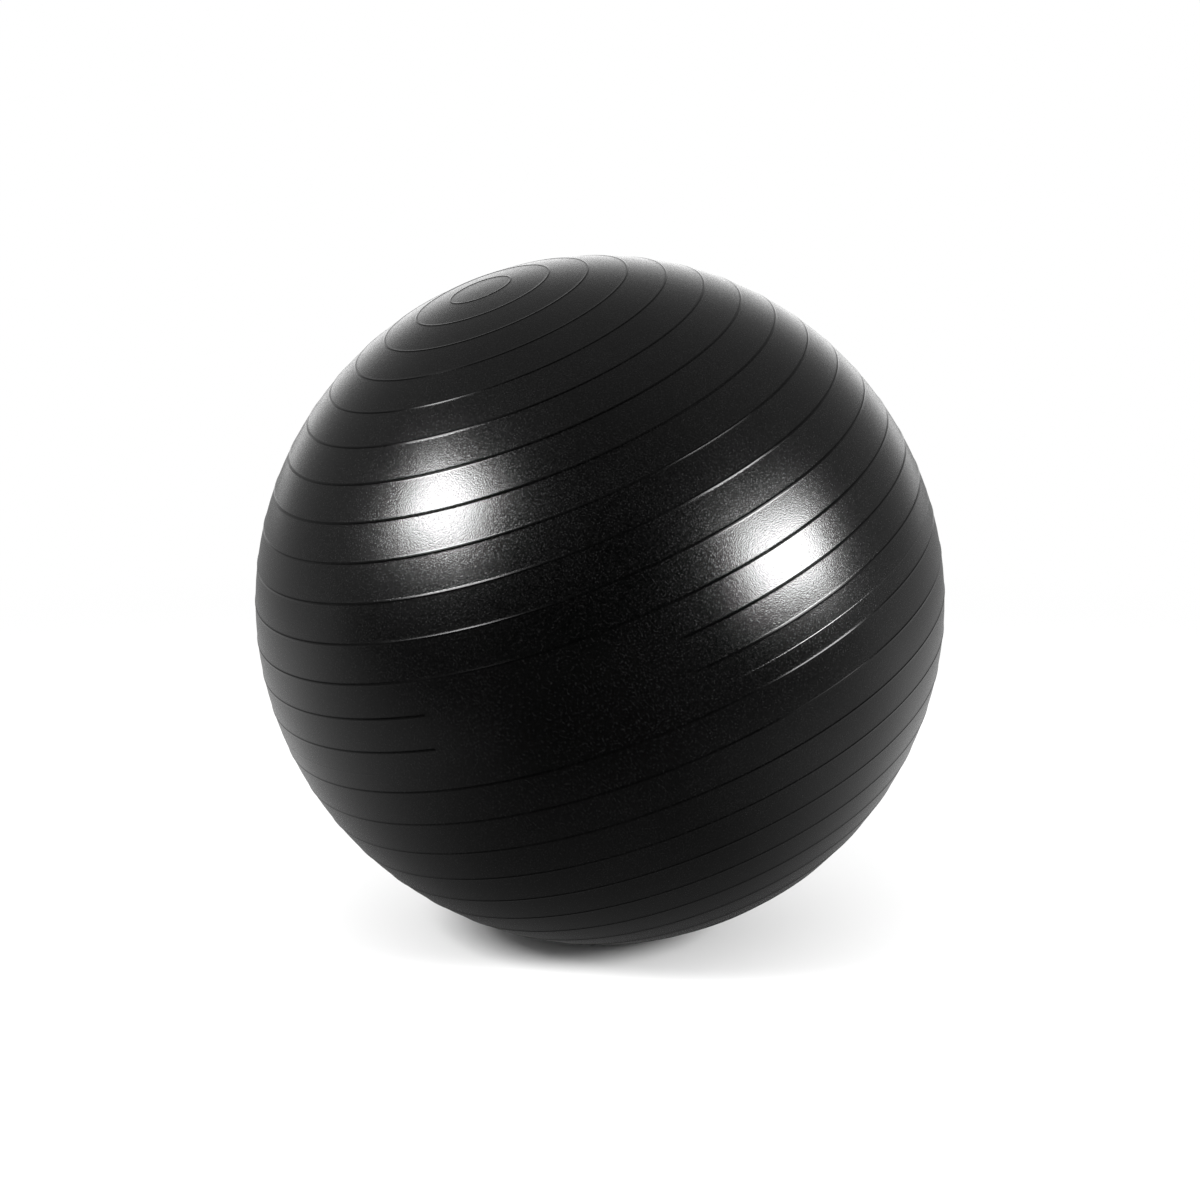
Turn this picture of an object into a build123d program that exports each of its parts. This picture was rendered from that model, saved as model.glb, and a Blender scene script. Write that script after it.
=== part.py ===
from build123d import *
import math
import os

# Inflatable exercise ball of the 65 cm class: a one-piece ribbed skin, a valve seat and a plug.
# Millimetres, +Z up. The ball rests on the floor z = 0, with the origin below its centre.
# "Latitude" and "longitude" below are measured on the ball, about the axis of its ribs, and the
# front meridian is the one nearest to -Y.

# ---- driving dimensions ----

BALL_DIAMETER = 650.0           # plain skin, without the ribs
WALL = 0.9                      # skin thickness when inflated
CONTACT_RADIUS = 35.0           # patch that the ball's weight presses flat on the floor

LEAN = 22.57                    # degrees between the rib axis and the vertical
LEAN_HEADING = 208.3            # where the upper pole leans, in degrees from +X towards +Y

RIB_WIDTH = 3.8
RIB_HEIGHT = 0.5                # low ribs: their sides rise at less than 30 degrees
RIBS_PER_HALF = 14
UPPER_FIRST_RIB = 4.0           # degrees of latitude from the parting line
UPPER_PITCH = 6.32
LABEL_PITCH = 5.65              # the bands that hold the label panel are a little narrower
LABEL_RIBS = 2                  # ribs that stop on both sides of the plain label panel
LABEL_LONGITUDE = -8.3          # middle of the label panel
LABEL_SPAN = 44.2               # degrees of longitude
LOWER_FIRST_RIB = 3.2
LOWER_PITCH = 6.37
PARTING_WIDTH = 1.2             # fine line that the mould's two halves leave
PARTING_HEIGHT = 0.25

VALVE_LONGITUDE = 205.0         # on the far side from the label, in the band above the first rib
APERTURE_RADIUS = 12.0          # hole in the skin that the valve seat fills
FLANGE_RADIUS = 21.0
FLANGE_EDGE = 0.6               # thickness of the flange's feathered edge
PAD_RISE = 0.5                  # the seat's round pad stands this much proud of the skin
PAD_ROUND = 0.8
PAD_UNDERSIDE = 3.6
SLEEVE_RADIUS = 8.6
SLEEVE_DEPTH = 22.0
BORE_MOUTH_RADIUS = 4.65        # the bore tapers from here
BORE_END_RADIUS = 4.15          # to here at the sleeve's inner end
RECESS_RADIUS = 8.0             # shallow recess for the plug's head
RECESS_DEPTH = 1.4

PLUG_CLEARANCE = 0.05           # between the plug and its seat
PLUG_HEAD_RADIUS = 7.4
PLUG_HEAD_TOP = 1.3             # above the skin's surface on the valve axis
PLUG_HEAD_ROUND = 0.8
PLUG_DEPTH = 20.5
PLUG_TIP_RADIUS = 3.2
PLUG_TIP_LENGTH = 1.0
PLUG_CORE_RADIUS = 2.2          # the plug is hollow from its inner end
PLUG_CORE_STOP = 5.0
PLUG_GROOVES = [-6.0, -12.0]    # shallow grooves that leave three sealing lands on the shank
PLUG_GROOVE_WIDTH = 2.5
PLUG_GROOVE_DEPTH = 0.45

# ---- worked out from them ----

RADIUS = BALL_DIAMETER / 2
INNER_RADIUS = RADIUS - WALL
CENTRE_HEIGHT = math.sqrt(RADIUS**2 - CONTACT_RADIUS**2)
VALVE_LATITUDE = UPPER_FIRST_RIB + LABEL_PITCH / 2


def upper_ribs():
    """Latitudes of the upper half's ribs, from the parting line to the pole."""
    label = [UPPER_FIRST_RIB + LABEL_PITCH * i for i in range(LABEL_RIBS + 1)]
    rest = [label[-1] + UPPER_PITCH * (i + 1) for i in range(RIBS_PER_HALF - len(label))]
    return label + rest


def lower_ribs():
    """Latitudes of the lower half's ribs, from the parting line to the pole."""
    return [-LOWER_FIRST_RIB - LOWER_PITCH * i for i in range(RIBS_PER_HALF)]


def direction(latitude, longitude):
    """Unit vector of a point on the ball, in the ball's own frame."""
    up, round_axis = math.radians(latitude), math.radians(longitude)
    flat = math.cos(up)
    return Vector(flat * math.cos(round_axis), flat * math.sin(round_axis), math.sin(up))


def ball_frame():
    """The ball's own frame: its Z is the rib axis and its X lies on the front meridian."""
    lean, heading = math.radians(LEAN), math.radians(LEAN_HEADING)
    pole = Vector(math.sin(lean) * math.cos(heading), math.sin(lean) * math.sin(heading), math.cos(lean))
    front = Vector(0, -1, 0)
    front = (front - pole * front.dot(pole)).normalized()
    return Plane(origin=(0, 0, CENTRE_HEIGHT), x_dir=front, z_dir=pole)


def valve_frame():
    """The valve's frame: its origin is on the skin's surface and its Z points out of the ball."""
    frame = ball_frame()
    out = direction(VALVE_LATITUDE, VALVE_LONGITUDE)
    out = frame.x_dir * out.X + frame.y_dir * out.Y + frame.z_dir * out.Z
    along = frame.z_dir.cross(out).normalized()
    return Plane(origin=frame.origin + out * RADIUS, x_dir=along, z_dir=out)


def meridian_point(latitude, radius):
    """Point of a lathe profile, in the XZ plane."""
    angle = math.radians(latitude)
    return (radius * math.cos(angle), 0, radius * math.sin(angle))


def ribbed_ball():
    """Solid ball with every rib that goes all the way round, turned from one profile."""
    beads = [(latitude, RIB_WIDTH, RIB_HEIGHT) for latitude in upper_ribs()[LABEL_RIBS:] + lower_ribs()]
    beads.append((0.0, PARTING_WIDTH, PARTING_HEIGHT))
    edges = []
    above = 90.0
    for latitude, width, height in sorted(beads, reverse=True):
        half = math.degrees(width / 2 / RADIUS)
        skin = [meridian_point(a, RADIUS) for a in (above, (above + latitude + half) / 2, latitude + half)]
        crown = [meridian_point(latitude, RADIUS + height), meridian_point(latitude - half, RADIUS)]
        edges += [ThreePointArc(*skin), ThreePointArc(skin[-1], *crown)]
        above = latitude - half
    skin = [meridian_point(a, RADIUS) for a in (above, (above - 90) / 2, -90)]
    edges += [ThreePointArc(*skin), Line(skin[-1], meridian_point(90, RADIUS))]
    return revolve(Face(Wire(edges)), axis=Axis.Z)


def label_rib(latitude):
    """Rib that stops on both sides of the label panel: part of a ring of round section."""
    section_radius = ((RIB_WIDTH / 2)**2 + RIB_HEIGHT**2) / (2 * RIB_HEIGHT)
    middle = meridian_point(latitude, RADIUS + RIB_HEIGHT - section_radius)
    section = Face(Wire(Edge.make_circle(section_radius, Plane(origin=middle, z_dir=(0, 1, 0)))))
    ring = revolve(section, axis=Axis.Z, revolution_arc=360 - LABEL_SPAN)
    return Rot(0, 0, LABEL_LONGITUDE + LABEL_SPAN / 2) * ring


def above_floor(solid, height=0.0):
    """The part of a ball that is above a height, cut flat there."""
    size = 2 * BALL_DIAMETER
    return solid & Pos(0, 0, height + size / 2) * Box(size, size, size)


def turned(edges, frame):
    """Body of revolution about a frame's Z, from the edges of its lathe profile."""
    return frame.location * revolve(Face(Wire(edges)), axis=Axis.Z)


def profile(*corners):
    """Edges of a closed lathe profile: straight lines between corners in the XZ plane."""
    points = [(r, 0, z) for r, z in corners]
    return [Line(a, b) for a, b in zip(points, points[1:])]


def bore_radius(height):
    """Radius of the seat's tapered bore at a height in the valve's frame."""
    taper = (BORE_MOUTH_RADIUS - BORE_END_RADIUS) / (SLEEVE_DEPTH - RECESS_DEPTH)
    return BORE_MOUTH_RADIUS + taper * (height + RECESS_DEPTH)


def inner_skin(radius):
    """Height of the skin's inner face at a distance from the valve's axis."""
    return math.sqrt(INNER_RADIUS**2 - radius**2) - RADIUS


def ball_shell():
    """The skin: wall of even thickness, also where the floor presses it flat."""
    outside = ribbed_ball()
    for latitude in upper_ribs()[:LABEL_RIBS]:
        outside += label_rib(latitude)
    outside = above_floor(ball_frame().location * outside)
    inside = above_floor(Pos(0, 0, CENTRE_HEIGHT) * Sphere(INNER_RADIUS), WALL)
    aperture = valve_frame().location * Cylinder(APERTURE_RADIUS, APERTURE_RADIUS)
    return outside - inside - aperture


def valve_insert():
    """Valve seat: a pad in the skin's aperture, a flange behind the skin and a bored sleeve."""
    rim = APERTURE_RADIUS - PAD_ROUND
    meet = inner_skin(APERTURE_RADIUS)
    edge = inner_skin(FLANGE_RADIUS)
    between = (APERTURE_RADIUS + FLANGE_RADIUS) / 2
    edges = profile(
        (BORE_END_RADIUS, -SLEEVE_DEPTH),
        (BORE_MOUTH_RADIUS, -RECESS_DEPTH),
        (RECESS_RADIUS, -RECESS_DEPTH),
        (RECESS_RADIUS, PAD_RISE),
        (rim, PAD_RISE),
    )
    side = math.sqrt(0.5) * PAD_ROUND
    edges.append(ThreePointArc(
        (rim, 0, PAD_RISE),
        (rim + side, 0, PAD_RISE - PAD_ROUND + side),
        (APERTURE_RADIUS, 0, PAD_RISE - PAD_ROUND),
    ))
    edges += profile((APERTURE_RADIUS, PAD_RISE - PAD_ROUND), (APERTURE_RADIUS, meet))
    edges.append(ThreePointArc(
        (APERTURE_RADIUS, 0, meet), (between, 0, inner_skin(between)), (FLANGE_RADIUS, 0, edge),
    ))
    edges += profile(
        (FLANGE_RADIUS, edge),
        (FLANGE_RADIUS, edge - FLANGE_EDGE),
        (SLEEVE_RADIUS, -PAD_UNDERSIDE),
        (SLEEVE_RADIUS, -SLEEVE_DEPTH),
        (BORE_END_RADIUS, -SLEEVE_DEPTH),
    )
    return turned(edges, valve_frame())


def valve_plug():
    """Tapered hollow stopper with a round head that lies in the seat's recess."""
    under = -RECESS_DEPTH + PLUG_CLEARANCE
    shank_end = -PLUG_DEPTH + PLUG_TIP_LENGTH
    corners = [(0, -PLUG_CORE_STOP), (PLUG_CORE_RADIUS, -PLUG_CORE_STOP), (PLUG_CORE_RADIUS, -PLUG_DEPTH)]
    corners += [(PLUG_TIP_RADIUS, -PLUG_DEPTH), (bore_radius(shank_end) - PLUG_CLEARANCE, shank_end)]
    for top in reversed(PLUG_GROOVES):
        bottom = top - PLUG_GROOVE_WIDTH
        low, high = bore_radius(bottom) - PLUG_CLEARANCE, bore_radius(top) - PLUG_CLEARANCE
        corners += [(low, bottom), (low - PLUG_GROOVE_DEPTH, bottom + PLUG_GROOVE_DEPTH)]
        corners += [(high - PLUG_GROOVE_DEPTH, top - PLUG_GROOVE_DEPTH), (high, top)]
    corners += [(bore_radius(under) - PLUG_CLEARANCE, under), (PLUG_HEAD_RADIUS, under)]
    shoulder = PLUG_HEAD_TOP - PLUG_HEAD_ROUND
    corners.append((PLUG_HEAD_RADIUS, shoulder))
    flat = PLUG_HEAD_RADIUS - PLUG_HEAD_ROUND
    side = math.sqrt(0.5) * PLUG_HEAD_ROUND
    edges = profile(*corners)
    edges.append(ThreePointArc(
        (PLUG_HEAD_RADIUS, 0, shoulder), (flat + side, 0, shoulder + side), (flat, 0, PLUG_HEAD_TOP),
    ))
    edges += profile((flat, PLUG_HEAD_TOP), (0, PLUG_HEAD_TOP), (0, -PLUG_CORE_STOP))
    return turned(edges, valve_frame())


os.makedirs("parts", exist_ok=True)
for make in (ball_shell, valve_insert, valve_plug):
    export_step(make(), f"parts/{make.__name__}.step")
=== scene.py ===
import math

import bmesh
import bpy
import numpy as np
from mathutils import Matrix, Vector, noise


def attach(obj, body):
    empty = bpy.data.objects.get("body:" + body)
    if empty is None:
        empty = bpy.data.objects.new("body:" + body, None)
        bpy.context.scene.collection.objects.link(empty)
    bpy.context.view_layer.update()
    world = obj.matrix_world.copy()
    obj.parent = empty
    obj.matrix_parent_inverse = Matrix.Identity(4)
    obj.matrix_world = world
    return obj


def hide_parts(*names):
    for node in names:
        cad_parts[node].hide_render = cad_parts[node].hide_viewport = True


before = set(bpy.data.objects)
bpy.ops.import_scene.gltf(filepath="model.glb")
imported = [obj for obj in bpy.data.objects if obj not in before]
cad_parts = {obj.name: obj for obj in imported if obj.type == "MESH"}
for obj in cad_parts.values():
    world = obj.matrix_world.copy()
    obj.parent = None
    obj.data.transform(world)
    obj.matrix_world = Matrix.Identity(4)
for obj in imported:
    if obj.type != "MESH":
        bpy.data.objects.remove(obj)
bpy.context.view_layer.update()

# Visual model of an inflatable exercise ball, in metres, in the row frame: +Z up, floor at z = 0.
# "Latitude" and "longitude" are measured on the ball, about the axis of its ribs, from the front
# meridian, which is the one nearest to -Y.

# ---- the ball's own dimensions, as in the CAD model ----

RADIUS = 0.325
WALL = 0.0009
CONTACT_RADIUS = 0.035
LEAN = math.radians(22.57)
LEAN_HEADING = math.radians(208.3)
RIB_HEIGHT = 0.0005
RIB_REACH = 0.0019              # from a rib's crown line to its root
RIB_SECTION = (                 # distance from the crown line, and share of the height there
    (0.0, 1.0),
    (0.0001, 0.93),
    (0.0008, 0.38),
    (0.00125, 0.08),
    (0.0019, 0.0),
)
RIB_SIDES = 0.0015              # a rib wears its own material as far as this from its crown line
FLARE_HEIGHT = 0.00008          # a faint swell of the skin under each rib
FLARE_REACH = 0.0050
RIB_UNEVENNESS = 0.08           # share of the height that comes and goes along a rib
RIBS_PER_HALF = 14
UPPER_FIRST_RIB = 4.0
UPPER_PITCH = 6.32
LABEL_PITCH = 5.65
LABEL_RIBS = 2
LABEL_LONGITUDE = -8.3
LABEL_SPAN = 44.2
LOWER_FIRST_RIB = 3.2
LOWER_PITCH = 6.37
PARTING_HEIGHT = 0.00018
PARTING_REACH = 0.0008
PARTING_UNEVENNESS = 0.45
UNEVEN_SCALE = 9.0              # waves of that unevenness, over one radius
VALVE_LONGITUDE = 205.0
APERTURE_RADIUS = 0.012
CONTACT_EDGE = 0.0002           # softness of the edge round the patch on the floor

# The skin rolls up a little where it was moulded round the seat, then turns in along the wall:
# distance from the valve's axis, height above the plain skin.
LIP = (
    (0.0135, 0.0),
    (0.0130, 0.00009),
    (0.01265, 0.00018),
    (0.01235, 0.00015),
    (0.0121, -0.00005),
    (APERTURE_RADIUS, -0.0003),
)

CENTRE = Vector((0, 0, math.sqrt(RADIUS**2 - CONTACT_RADIUS**2)))

# ---- how finely the skin is meshed ----

COLUMNS = 190                   # round the ball
PARTING_STEPS = 4               # rows on each flank of the parting line
PARTING_FOOT = 1.5              # one more row, at this share of the parting line's reach
FLARE_SHARES = (0.5, 0.7, 1.0)  # rows on the swell outside a rib's root
BAND_ROWS = 1                   # rows on the plain skin between two ribs
END_CLEARANCE = 1.2             # no even column nearer to the end of a label rib, in rib reaches
END_SHARES = (-0.5, 0, 0.3, 0.55, 0.8, 1.0)     # columns at the end of a label rib, in rib reaches
VALVE_WINDOW = 3.0              # degrees of longitude left open on each side of the valve
WINDOW_CLEARANCE = 0.4          # degrees between the window's edge and the next column
VALVE_SEGMENTS = 96
INNER_ROWS = 40


# ---- frames ----

def ball_axes():
    """Front, side and pole: the ball's own axes."""
    pole = Vector((
        math.sin(LEAN) * math.cos(LEAN_HEADING),
        math.sin(LEAN) * math.sin(LEAN_HEADING),
        math.cos(LEAN),
    ))
    front = Vector((0, -1, 0))
    front = (front - pole * front.dot(pole)).normalized()
    return front, pole.cross(front), pole


FRONT, SIDE, POLE = ball_axes()


def direction(latitude, longitude):
    """Unit vector of a place on the ball, given in degrees."""
    up, turn = math.radians(latitude), math.radians(longitude)
    return (FRONT * math.cos(turn) + SIDE * math.sin(turn)) * math.cos(up) + POLE * math.sin(up)


VALVE_LATITUDE = UPPER_FIRST_RIB + LABEL_PITCH / 2
VALVE_OUT = direction(VALVE_LATITUDE, VALVE_LONGITUDE)
VALVE_ALONG = POLE.cross(VALVE_OUT).normalized()
VALVE_ACROSS = VALVE_OUT.cross(VALVE_ALONG)
VALVE_SEAT = CENTRE + VALVE_OUT * RADIUS


def valve_point(radius, height, angle):
    """Place by its distance from the valve's axis, its height above the skin there, and its angle."""
    return (
        VALVE_SEAT
        + VALVE_OUT * height
        + (VALVE_ALONG * math.cos(angle) + VALVE_ACROSS * math.sin(angle)) * radius
    )


def skin_height(radius, sphere=RADIUS):
    """Height of a sphere about the ball's centre at a distance from the valve's axis."""
    return math.sqrt(sphere**2 - radius**2) - RADIUS


def rest_on_floor(point, floor=0.0):
    """The floor presses the skin flat, with a soft edge round the patch."""
    over = point.z - floor
    point.z = floor + (over + math.hypot(over, CONTACT_EDGE)) / 2
    return point


# ---- the skin ----

def upper_ribs():
    label = [UPPER_FIRST_RIB + LABEL_PITCH * i for i in range(LABEL_RIBS + 1)]
    return label + [label[-1] + UPPER_PITCH * (i + 1) for i in range(RIBS_PER_HALF - len(label))]


def lower_ribs():
    return [-LOWER_FIRST_RIB - LOWER_PITCH * i for i in range(RIBS_PER_HALF)]


def bell(distance, reach):
    """Smooth hump: 1 in its middle, 0 at its reach, level at both."""
    if distance >= reach:
        return 0.0
    return 0.5 + 0.5 * math.cos(math.pi * distance / reach)


def beads():
    """Every rib and the parting line, from the upper pole down: latitude, reach, height, has a gap."""
    ribs = upper_ribs()
    rows = [(latitude, RIB_REACH, RIB_HEIGHT, i < LABEL_RIBS) for i, latitude in enumerate(ribs)]
    rows += [(latitude, RIB_REACH, RIB_HEIGHT, False) for latitude in lower_ribs()]
    rows.append((0.0, PARTING_REACH, PARTING_HEIGHT, False))
    return sorted(rows, reverse=True)


def skin_rows():
    """Rows of the skin from pole to pole: latitude, bead or None, distance from the bead's crown."""
    rows = []
    above = 90.0
    steps = BAND_ROWS + 1
    for bead in beads():
        latitude, reach, height, _ = bead
        if height == RIB_HEIGHT:
            offsets = [distance for distance, _ in RIB_SECTION]
            offsets += [FLARE_REACH * share for share in FLARE_SHARES]
        else:
            offsets = [reach * i / PARTING_STEPS for i in range(PARTING_STEPS + 1)]
            offsets.append(PARTING_FOOT * reach)
        offsets = [-d for d in reversed(offsets[1:])] + offsets
        top = latitude + math.degrees(offsets[-1] / RADIUS)
        rows += [(above + (top - above) * i / steps, None, 0.0) for i in range(1, steps)]
        rows += [(latitude - math.degrees(d / RADIUS), bead, abs(d)) for d in offsets]
        above = rows[-1][0]
    rows += [(above + (-90.0 - above) * i / steps, None, 0.0) for i in range(1, steps)]
    return rows


def skin_columns():
    """Longitudes of the skin's columns, closer together where the label's ribs end."""
    reach = math.degrees(RIB_REACH / RADIUS)
    edges = [LABEL_LONGITUDE - LABEL_SPAN / 2, LABEL_LONGITUDE + LABEL_SPAN / 2]
    columns = []
    for i in range(COLUMNS):
        longitude = 360.0 * i / COLUMNS
        away = [abs((longitude - e + 180) % 360 - 180) for e in edges]
        if min(away) > END_CLEARANCE * reach:
            columns.append(longitude)
    for edge, inward in zip(edges, (1, -1)):
        columns += [(edge + inward * reach * share) % 360 for share in END_SHARES]
    valve = [VALVE_LONGITUDE - VALVE_WINDOW, VALVE_LONGITUDE + VALVE_WINDOW]
    columns = [c for c in columns if min(abs(c - v) for v in valve) > WINDOW_CLEARANCE]
    return sorted(columns + valve)


def past_label_edge(latitude, longitude):
    """How far a place is inside the label panel, in metres along a rib, or 0 outside it."""
    from_middle = abs((longitude - LABEL_LONGITUDE + 180) % 360 - 180)
    inside = math.radians(LABEL_SPAN / 2 - from_middle) * RADIUS * math.cos(math.radians(latitude))
    return max(0.0, inside)


def bead_rise(bead, distance, longitude):
    """How far a rib or the parting line stands out, and whether the skin wears the rib's finish."""
    latitude, reach, height, has_gap = bead
    if has_gap:
        distance = math.hypot(distance, past_label_edge(latitude, longitude))
    wave = 0.5 + 0.5 * noise.noise(direction(latitude, longitude) * UNEVEN_SCALE)
    if height == RIB_HEIGHT:
        even = 1.0 - RIB_UNEVENNESS * wave
        on_rib = float(np.interp(distance, *zip(*RIB_SECTION)))
        flare = FLARE_HEIGHT * bell(distance, FLARE_REACH)
        return even * ((height - FLARE_HEIGHT) * on_rib + flare), distance < RIB_SIDES
    uneven = 1.0 - PARTING_UNEVENNESS * wave
    return uneven * height * bell(distance, reach), False


def stitch(faces, outer, inner, angle_of):
    """Triangles between two closed loops of vertices about the same axis, each in order of angle."""
    i = j = 0
    while i < len(outer) or j < len(inner):
        a, a2 = outer[i % len(outer)], outer[(i + 1) % len(outer)]
        b, b2 = inner[j % len(inner)], inner[(j + 1) % len(inner)]
        next_outer = angle_of(a2) + (2 * math.pi if i + 1 >= len(outer) else 0)
        next_inner = angle_of(b2) + (2 * math.pi if j + 1 >= len(inner) else 0)
        if j >= len(inner) or (i < len(outer) and next_outer < next_inner):
            faces.append((a, a2, b))
            i += 1
        else:
            faces.append((a, b2, b))
            j += 1


def skin_mesh():
    """The skin as one closed shell, open only at the valve, and which of its faces are on ribs."""
    verts, faces, ribbed = [], [], []

    def add(point, floor=0.0, on_rib=False):
        verts.append(rest_on_floor(point, floor))
        ribbed.append(on_rib)
        return len(verts) - 1

    rows, columns = skin_rows(), skin_columns()
    grid = []
    for latitude, bead, distance in rows:
        line = []
        for longitude in columns:
            rise, on_rib = bead_rise(bead, distance, longitude) if bead else (0.0, False)
            out = direction(latitude, longitude)
            line.append(add(CENTRE + out * (RADIUS + rise), 0.0, on_rib))
        grid.append(line)
    top, bottom = add(CENTRE + POLE * RADIUS), add(CENTRE - POLE * RADIUS)

    root = math.degrees(RIB_REACH / RADIUS)
    low, high = UPPER_FIRST_RIB + root, UPPER_FIRST_RIB + LABEL_PITCH - root
    in_rows = [i for i, row in enumerate(rows) if low - 0.01 < row[0] < high + 0.01]
    in_columns = [j for j, c in enumerate(columns) if abs(c - VALVE_LONGITUDE) < VALVE_WINDOW + 0.01]
    count = len(columns)
    for i in range(len(rows) - 1):
        for j in range(count):
            if in_rows[0] <= i < in_rows[-1] and in_columns[0] <= j < in_columns[-1]:
                continue
            k = (j + 1) % count
            faces.append((grid[i][j], grid[i + 1][j], grid[i + 1][k], grid[i][k]))
    for j in range(count):
        k = (j + 1) % count
        faces.append((top, grid[0][j], grid[0][k]))
        faces.append((bottom, grid[-1][k], grid[-1][j]))

    def angle_of(index):
        offset = verts[index] - VALVE_SEAT
        return math.atan2(offset.dot(VALVE_ACROSS), offset.dot(VALVE_ALONG)) % (2 * math.pi)

    frame_loop = [grid[i][in_columns[0]] for i in in_rows]
    frame_loop += [grid[i][in_columns[-1]] for i in in_rows]
    frame_loop += [grid[in_rows[0]][j] for j in in_columns[1:-1]]
    frame_loop += [grid[in_rows[-1]][j] for j in in_columns[1:-1]]
    frame_loop.sort(key=angle_of)

    rings = [
        [add(valve_point(r, skin_height(r) + h, 2 * math.pi * k / VALVE_SEGMENTS))
         for k in range(VALVE_SEGMENTS)]
        for r, h in LIP
    ]
    stitch(faces, frame_loop, rings[0], angle_of)
    inner_radius = RADIUS - WALL
    opening = math.asin(APERTURE_RADIUS / inner_radius)
    for i in range(INNER_ROWS):
        polar = opening + (math.pi - opening) * i / INNER_ROWS
        reach, height = inner_radius * math.sin(polar), inner_radius * math.cos(polar) - RADIUS
        rings.append([
            add(valve_point(reach, height, 2 * math.pi * k / VALVE_SEGMENTS), WALL)
            for k in range(VALVE_SEGMENTS)
        ])
    for outer, inner in zip(rings, rings[1:]):
        for k in range(VALVE_SEGMENTS):
            n = (k + 1) % VALVE_SEGMENTS
            faces.append((outer[k], outer[n], inner[n], inner[k]))
    far = add(CENTRE - VALVE_OUT * inner_radius, WALL)
    for k in range(VALVE_SEGMENTS):
        faces.append((rings[-1][k], rings[-1][(k + 1) % VALVE_SEGMENTS], far))
    return verts, faces, [all(ribbed[v] for v in face) for face in faces]


def add_piece(name, verts, faces, material):
    """New mesh object with outward normals and smooth shading."""
    mesh = bpy.data.meshes.new(name)
    mesh.from_pydata([tuple(v) for v in verts], [], faces)
    work = bmesh.new()
    work.from_mesh(mesh)
    bmesh.ops.recalc_face_normals(work, faces=work.faces)
    work.to_mesh(mesh)
    work.free()
    mesh.polygons.foreach_set("use_smooth", [True] * len(mesh.polygons))
    mesh.materials.append(material)
    piece = bpy.data.objects.new(name, mesh)
    bpy.context.scene.collection.objects.link(piece)
    return piece


# ---- the valve's two pieces, turned about the valve's axis ----

def rounded(corners, steps=5):
    """Lathe profile with its corners rounded: (radius, height, fillet) in metres."""
    points = []
    for i, (r, h, fillet) in enumerate(corners):
        here = Vector((r, h))
        if not fillet or i in (0, len(corners) - 1):
            points.append(here)
            continue
        before = Vector(corners[i - 1][:2]) - here
        after = Vector(corners[i + 1][:2]) - here
        reach = min(fillet, before.length * 0.48, after.length * 0.48)
        start, end = here + before.normalized() * reach, here + after.normalized() * reach
        for k in range(steps + 1):
            t = k / steps
            points.append(start * (1 - t) ** 2 + here * 2 * t * (1 - t) + end * t**2)
    return points


def turned(name, profile, material, closed, notch=None):
    """Body of revolution about the valve's axis. notch(radius, height, angle) gives a new radius."""
    verts, faces, rings = [], [], []
    for point in profile:
        r, h = point
        if r < 1e-7:
            verts.append(valve_point(0, h, 0))
            rings.append([len(verts) - 1])
            continue
        ring = []
        for k in range(VALVE_SEGMENTS):
            angle = 2 * math.pi * k / VALVE_SEGMENTS
            radius = notch(r, h, angle) if notch else r
            verts.append(valve_point(radius, h, angle))
            ring.append(len(verts) - 1)
        rings.append(ring)
    pairs = list(zip(rings, rings[1:]))
    if closed:
        pairs.append((rings[-1], rings[0]))
    for a, b in pairs:
        for k in range(VALVE_SEGMENTS):
            n = (k + 1) % VALVE_SEGMENTS
            if len(a) == 1:
                faces.append((a[0], b[n], b[k]))
            elif len(b) == 1:
                faces.append((a[k], a[n], b[0]))
            else:
                faces.append((a[k], a[n], b[n], b[k]))
    return add_piece(name, verts, faces, material)


MM = 0.001
RECESS_DEPTH = 1.4 * MM
SLEEVE_DEPTH = 22.0 * MM
BORE_MOUTH = 4.65 * MM
BORE_END = 4.15 * MM
CLEARANCE = 0.05 * MM


def bore_radius(height):
    taper = (BORE_MOUTH - BORE_END) / (SLEEVE_DEPTH - RECESS_DEPTH)
    return BORE_MOUTH + taper * (height + RECESS_DEPTH)


def make_seat(material):
    """Valve seat: round pad with a soft rim, recess for the plug's head, flange and bored sleeve."""
    pad = APERTURE_RADIUS - 0.03 * MM
    inside = skin_height(APERTURE_RADIUS, RADIUS - WALL) - 0.02 * MM
    flange = skin_height(21 * MM, RADIUS - WALL) - 0.02 * MM
    middle = skin_height(16.5 * MM, RADIUS - WALL) - 0.02 * MM
    corners = [
        (BORE_END, -SLEEVE_DEPTH, 0),
        (bore_radius(-2.2 * MM), -2.2 * MM, 0.3 * MM),
        (BORE_MOUTH + 0.35 * MM, -RECESS_DEPTH, 0.4 * MM),
        (6.3 * MM, -RECESS_DEPTH, 0.0),
        (7.75 * MM, -RECESS_DEPTH, 0.35 * MM),
        (8.0 * MM, 0.5 * MM, 0.45 * MM),
        (9.6 * MM, 0.5 * MM, 0.3 * MM),
        (9.9 * MM, 0.2 * MM, 0.3 * MM),
        (10.4 * MM, 0.2 * MM, 0.3 * MM),
        (10.7 * MM, 0.45 * MM, 0.3 * MM),
        (pad - 0.5 * MM, 0.45 * MM, 0.4 * MM),
        (pad, -0.35 * MM, 0.4 * MM),
        (pad, inside, 0),
        (16.5 * MM, middle, 0),
        (21 * MM, flange, 0.2 * MM),
        (21 * MM, flange - 0.6 * MM, 0.3 * MM),
        (10.5 * MM, -3.4 * MM, 1.5 * MM),
        (8.6 * MM, -6.0 * MM, 1.5 * MM),
        (8.6 * MM, -SLEEVE_DEPTH, 0.5 * MM),
        (BORE_END + 0.4 * MM, -SLEEVE_DEPTH, 0.0),
    ]
    return turned("valve_seat", rounded(corners), material, True)


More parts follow.
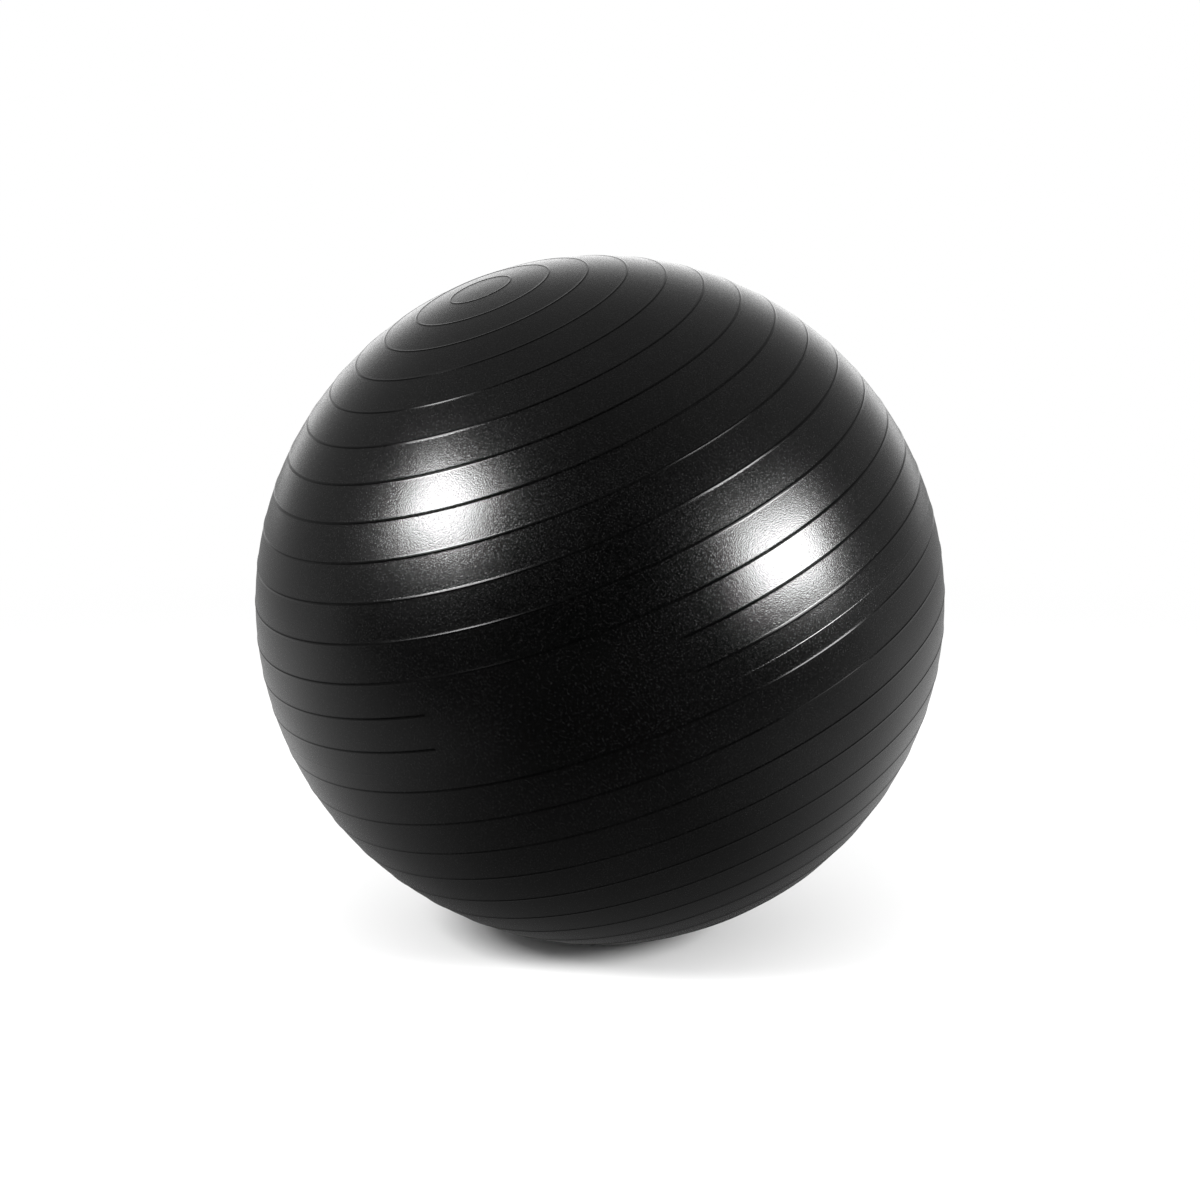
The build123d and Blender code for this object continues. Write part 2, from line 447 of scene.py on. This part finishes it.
def make_plug(material):
    """Plug: domed head with a moulded dimple and two pry notches, lands and grooves on its shank."""
    def shank(height):
        return bore_radius(height) - CLEARANCE

    corners = [(0, 0.75 * MM, 0), (1.0 * MM, 0.75 * MM, 0.2 * MM), (1.25 * MM, 1.05 * MM, 0.15 * MM)]
    corners += [(4.2 * MM, 1.25 * MM, 0.2 * MM), (4.5 * MM, 1.05 * MM, 0.2 * MM)]
    corners += [(4.9 * MM, 1.05 * MM, 0.2 * MM), (5.2 * MM, 1.28 * MM, 0.2 * MM)]
    corners += [(7.0 * MM, 1.2 * MM, 0.5 * MM), (7.4 * MM, 0.4 * MM, 0.5 * MM)]
    under = -RECESS_DEPTH + CLEARANCE
    corners += [(7.35 * MM, -0.7 * MM, 0.3 * MM), (6.9 * MM, under, 0.3 * MM)]
    corners += [(4.9 * MM, under, 0.2 * MM), (shank(-2.4 * MM), -2.4 * MM, 0.4 * MM)]
    for top in (-6.0 * MM, -12.0 * MM):
        low = top - 2.5 * MM
        corners += [(shank(top), top, 0.25 * MM), (shank(top) - 0.45 * MM, top - 0.45 * MM, 0.2 * MM)]
        corners += [(shank(low) - 0.45 * MM, low + 0.45 * MM, 0.2 * MM), (shank(low), low, 0.25 * MM)]
    corners += [(shank(-19.5 * MM), -19.5 * MM, 0.4 * MM), (3.2 * MM, -20.5 * MM, 0.3 * MM)]
    corners += [(2.2 * MM, -20.5 * MM, 0.2 * MM), (2.2 * MM, -5.0 * MM, 0.6 * MM), (0, -5.0 * MM, 0)]

    def pry_notch(radius, height, angle):
        if radius < 6.2 * MM or height > 1.0 * MM:
            return radius
        across = abs(math.sin(angle)) * radius
        return radius - 0.8 * MM * max(0.0, 1 - (across / (2.2 * MM)) ** 4)

    return turned("valve_stopper", rounded(corners), material, False, pry_notch)


# ---- materials ----

def node_adder(tree):
    """Short way to add a node to a tree with its settings and its inputs, linked or set."""
    def add(kind, links=None, **settings):
        node = tree.nodes.new(kind)
        for key, value in settings.items():
            setattr(node, key, value)
        for socket, value in (links or {}).items():
            if isinstance(value, bpy.types.NodeSocket):
                tree.links.new(value, node.inputs[socket])
            else:
                node.inputs[socket].default_value = value
        return node

    return add


def grey_ramp(add, factor, levels):
    """Colour ramp through grey levels, given as (position, level)."""
    ramp = add("ShaderNodeValToRGB", {"Fac": factor})
    stops = ramp.color_ramp.elements
    while len(stops) < len(levels):
        stops.new(0.5)
    for stop, (position, level) in zip(stops, levels):
        stop.position = position
        stop.color = (level, level, level, 1)
    return ramp.outputs["Color"]


def new_material(name):
    """Material with its node tree, its Principled shader and a short way to add nodes."""
    material = bpy.data.materials.new(name)
    material.use_nodes = True
    tree = material.node_tree
    return material, tree, tree.nodes["Principled BSDF"], node_adder(tree)


def skin_material(name, least_rough, most_rough, speckle, specular, grain_depth):
    """Satin black soft PVC, faintly cloudy. The moulded grain is in its relief, gloss and shade."""
    material, tree, shader, add = new_material(name)
    place = add("ShaderNodeTexCoord").outputs["Object"]

    def pattern(scale, detail, roughness):
        settings = {"Vector": place, "Scale": scale, "Detail": detail, "Roughness": roughness}
        return add("ShaderNodeTexNoise", settings).outputs["Fac"]

    grain = pattern(850.0, 1.0, 0.5)
    fines = pattern(2000.0, 1.0, 0.5)
    clouds = pattern(9.0, 4.0, 0.55)

    rough = add("ShaderNodeMapRange", {"Value": clouds, "From Min": 0.3, "From Max": 0.7,
                                       "To Min": least_rough, "To Max": most_rough})
    grained = add("ShaderNodeMath", {0: grain, 1: -0.5}, operation="ADD")
    speckled = add("ShaderNodeMath", {0: grained.outputs["Value"], 1: speckle,
                                      2: rough.outputs["Result"]}, operation="MULTIPLY_ADD")
    tree.links.new(speckled.outputs["Value"], shader.inputs["Roughness"])

    cloudy = add("ShaderNodeMath", {0: clouds, 1: 0.3, 2: grain}, operation="MULTIPLY_ADD")
    shade = grey_ramp(add, cloudy.outputs["Value"], [(0.5, 0.0), (0.68, 0.0003), (0.85, 0.0021)])
    tree.links.new(shade, shader.inputs["Base Color"])

    coarse = add("ShaderNodeBump", {"Height": grain, "Strength": 1.0, "Distance": grain_depth})
    fine = add("ShaderNodeBump", {"Height": fines, "Strength": 1.0, "Distance": grain_depth / 5,
                                  "Normal": coarse.outputs["Normal"]})
    tree.links.new(fine.outputs["Normal"], shader.inputs["Normal"])
    shader.inputs["IOR"].default_value = 1.5
    shader.inputs["Specular IOR Level"].default_value = specular
    return material


def seat_material():
    """Smooth black soft PVC of the valve seat, with a faint random speckle in its tone, gloss and
    relief.
    """
    material, tree, shader, add = new_material("seat_pvc")
    place = add("ShaderNodeTexCoord").outputs["Object"]
    speck = add("ShaderNodeTexNoise", {"Vector": place, "Scale": 900.0, "Detail": 3.0})
    rough = add("ShaderNodeMapRange", {"Value": speck.outputs["Fac"], "To Min": 0.3, "To Max": 0.5})
    tree.links.new(rough.outputs["Result"], shader.inputs["Roughness"])
    shade = add("ShaderNodeMapRange", {"Value": speck.outputs["Fac"], "To Min": 0.003, "To Max": 0.008})
    colour = add("ShaderNodeCombineColor", {0: shade.outputs["Result"], 1: shade.outputs["Result"],
                                            2: shade.outputs["Result"]})
    tree.links.new(colour.outputs["Color"], shader.inputs["Base Color"])
    bump = add("ShaderNodeBump", {"Height": speck.outputs["Fac"], "Strength": 0.2, "Distance": 0.0001})
    tree.links.new(bump.outputs["Normal"], shader.inputs["Normal"])
    return material


def plug_material():
    """Off-white polyethylene: slightly translucent look, satin, with faint flow marks."""
    material, tree, shader, add = new_material("plug_plastic")
    place = add("ShaderNodeTexCoord").outputs["Object"]
    flow = add("ShaderNodeTexNoise", {"Vector": place, "Scale": 240.0, "Detail": 4.0, "Distortion": 1.2})
    grain = add("ShaderNodeTexNoise", {"Vector": place, "Scale": 2600.0, "Detail": 2.0})
    ramp = add("ShaderNodeValToRGB", {"Fac": flow.outputs["Fac"]})
    ramp.color_ramp.elements[0].position = 0.3
    ramp.color_ramp.elements[0].color = (0.66, 0.65, 0.61, 1)
    ramp.color_ramp.elements[1].position = 0.7
    ramp.color_ramp.elements[1].color = (0.76, 0.75, 0.72, 1)
    tree.links.new(ramp.outputs["Color"], shader.inputs["Base Color"])
    rough = add("ShaderNodeMapRange", {"Value": flow.outputs["Fac"], "To Min": 0.34, "To Max": 0.5})
    tree.links.new(rough.outputs["Result"], shader.inputs["Roughness"])
    bump = add("ShaderNodeBump", {"Height": grain.outputs["Fac"], "Strength": 0.25, "Distance": 0.00005})
    tree.links.new(bump.outputs["Normal"], shader.inputs["Normal"])
    shader.inputs["Subsurface Weight"].default_value = 0.15
    shader.inputs["Subsurface Radius"].default_value = (0.0012, 0.001, 0.0008)
    shader.inputs["Subsurface Scale"].default_value = 1.0
    return material


# ---- camera, light and floor ----

CAMERA_ELEVATION = math.radians(10.0)
CAMERA_DISTANCE = 10.0 * RADIUS
CAMERA_LENS = 102.86            # millimetres, on a 36 mm sensor
RIGHT = Vector((1, 0, 0))
UP = Vector((0, math.sin(CAMERA_ELEVATION), math.cos(CAMERA_ELEVATION)))
TOWARDS = Vector((0, -math.cos(CAMERA_ELEVATION), math.sin(CAMERA_ELEVATION)))


def make_camera():
    data = bpy.data.cameras.new("camera")
    data.lens = CAMERA_LENS
    data.sensor_width = 36.0
    camera = bpy.data.objects.new("camera", data)
    camera.location = CENTRE + TOWARDS * CAMERA_DISTANCE
    camera.rotation_euler = (math.pi / 2 - CAMERA_ELEVATION, 0, 0)
    bpy.context.scene.collection.objects.link(camera)
    bpy.context.scene.camera = camera


# Where the mirror images of the lamps lie on the ball: right, up and towards the camera.
LEFT_GLINT = (-0.420, 0.245, 0.874)
RIGHT_GLINT = (0.491, 0.120, 0.863)
SOFT_BOXES = (                  # name, mirror image, distance, width, height, power in watts
    ("left_soft_box", LEFT_GLINT, 2.0, 0.86, 0.74, 68.0),
    ("left_halo", LEFT_GLINT, 2.1, 1.35, 1.15, 13.0),
    ("right_soft_box", RIGHT_GLINT, 2.0, 1.02, 0.70, 78.0),
    ("right_halo", RIGHT_GLINT, 2.1, 1.50, 1.30, 17.0),
)
FLOOR_REACH = 30.0              # half the floor's side


def soft_box(name, spot, distance, width, height, power):
    """Rectangular lamp whose mirror image, from the camera, lies at a spot on the ball."""
    out = (RIGHT * spot[0] + UP * spot[1] + TOWARDS * spot[2]).normalized()
    place = CENTRE + out * RADIUS
    seen = (place - (CENTRE + TOWARDS * CAMERA_DISTANCE)).normalized()
    away = seen.reflect(out)
    data = bpy.data.lights.new(name, "AREA")
    data.shape = "RECTANGLE"
    data.size, data.size_y = width, height
    data.energy = power
    lamp = bpy.data.objects.new(name, data)
    lamp.location = place + away * distance
    lamp.rotation_euler = away.to_track_quat("Z", "Y").to_euler()
    lamp.visible_camera = False
    bpy.context.scene.collection.objects.link(lamp)


def make_world():
    """White studio. In reflections it is bright behind the ball and dim towards the camera's side."""
    world = bpy.data.worlds.new("studio")
    world.use_nodes = True
    tree = world.node_tree
    tree.nodes.clear()
    add = node_adder(tree)
    away = add("ShaderNodeTexCoord").outputs["Generated"]
    facing = add("ShaderNodeVectorMath", {0: away, 1: tuple(TOWARDS)}, operation="DOT_PRODUCT")
    front = add("ShaderNodeMapRange", {"Value": facing.outputs["Value"],
                                       "From Min": -1.0, "From Max": 1.0})
    levels = [(0.0, 2.2), (0.04, 1.5), (0.08, 0.9), (0.13, 0.42), (0.19, 0.31), (0.3, 0.25),
              (0.5, 0.22), (0.64, 0.19), (0.75, 0.15), (0.84, 0.06), (0.93, 0.01), (1.0, 0.0)]
    glow = grey_ramp(add, front.outputs["Result"], levels)
    glossy = add("ShaderNodeLightPath").outputs["Is Glossy Ray"]
    mixed = add("ShaderNodeMix", {0: glossy, 6: (1, 1, 1, 1), 7: glow}, data_type="RGBA")
    shine = add("ShaderNodeBackground", {"Color": mixed.outputs[2], "Strength": 1.0})
    add("ShaderNodeOutputWorld", {"Surface": shine.outputs["Background"]})
    bpy.context.scene.world = world


def floor_material():
    """Pale floor that fades to the studio's white further out, where it glows. In the ball it shows as a
    painted reflection, a dim glow.
    """
    material, tree, shader, add = new_material("pale_floor")
    place = add("ShaderNodeTexCoord").outputs["Object"]
    reach = add("ShaderNodeVectorMath", {0: place}, operation="LENGTH").outputs["Value"]
    far = add("ShaderNodeMapRange", {"Value": reach, "From Min": 0.7, "From Max": 2.2},
              interpolation_type="SMOOTHSTEP").outputs["Result"]
    paper = add("ShaderNodeBsdfDiffuse", {"Color": (0.7, 0.7, 0.7, 1)})
    white = add("ShaderNodeEmission", {"Color": (1, 1, 1, 1), "Strength": 1.0})
    seen = add("ShaderNodeMixShader", {0: far, 1: paper.outputs[0], 2: white.outputs[0]})
    # What glossy rays see of the floor is a painted reflection, a glow: painted shade in a strip in
    # front of and under the ball, and painted light to its sides, brighter further back and dimmer far
    # out.
    parts = add("ShaderNodeSeparateXYZ", {0: place}).outputs
    aside = add("ShaderNodeMath", {0: parts["X"]}, operation="ABSOLUTE").outputs["Value"]
    beside = add("ShaderNodeMapRange", {"Value": aside, "From Min": 0.1, "From Max": 0.55},
                 interpolation_type="SMOOTHSTEP").outputs["Result"]
    open_floor = add("ShaderNodeMapRange", {"Value": parts["Y"], "From Min": -0.7, "From Max": 0.35,
                                            "To Min": 0.06, "To Max": 0.7})
    fade = add("ShaderNodeMapRange", {"Value": reach, "From Min": 0.6, "From Max": 2.5,
                                      "To Min": 1.0, "To Max": 0.5})
    lit = add("ShaderNodeMath", {0: open_floor.outputs["Result"], 1: fade.outputs["Result"]},
              operation="MULTIPLY")
    shaded = add("ShaderNodeMapRange", {"Value": parts["Y"], "From Min": -0.7, "From Max": -0.2,
                                        "To Min": 0.03, "To Max": 0.12})
    dim = add("ShaderNodeMix", {0: beside, 2: shaded.outputs["Result"], 3: lit.outputs["Value"]})
    painted_reflection = add("ShaderNodeEmission", {"Strength": dim.outputs[0]})
    glossy = add("ShaderNodeLightPath").outputs["Is Glossy Ray"]
    both = add("ShaderNodeMixShader", {0: glossy, 1: seen.outputs[0], 2: painted_reflection.outputs[0]})
    tree.links.new(both.outputs[0], tree.nodes["Material Output"].inputs["Surface"])
    tree.nodes.remove(shader)
    return material


def make_floor():
    mesh = bpy.data.meshes.new("floor")
    corners = [(x * FLOOR_REACH, y * FLOOR_REACH, 0) for x, y in ((-1, -1), (1, -1), (1, 1), (-1, 1))]
    mesh.from_pydata(corners, [], [(0, 1, 2, 3)])
    mesh.materials.append(floor_material())
    floor = bpy.data.objects.new("floor", mesh)
    bpy.context.scene.collection.objects.link(floor)


# ---- build ----

make_camera()
make_world()
make_floor()
for box in SOFT_BOXES:
    soft_box(*box)
bpy.context.scene.view_settings.view_transform = "Standard"

skin_verts, skin_faces, on_ribs = skin_mesh()
band_finish = skin_material(
    "skin_pvc", least_rough=0.19, most_rough=0.22, speckle=0.37, specular=0.5, grain_depth=0.00014
)
rib_finish = skin_material(
    "rib_pvc", least_rough=0.17, most_rough=0.20, speckle=0.0, specular=0.16, grain_depth=0.00001
)
skin = add_piece("ball_skin", skin_verts, skin_faces, band_finish)
skin.data.materials.append(rib_finish)
skin.data.polygons.foreach_set("material_index", [int(on_rib) for on_rib in on_ribs])
seat = make_seat(seat_material())
plug = make_plug(plug_material())

for piece, node, body, slot in (
    (skin, "ball_shell", "ball", "skin"),
    (seat, "valve_insert", "ball", "valve_seat"),
    (plug, "valve_plug", "plug", "plug"),
):
    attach(piece, body)
    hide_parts(node)
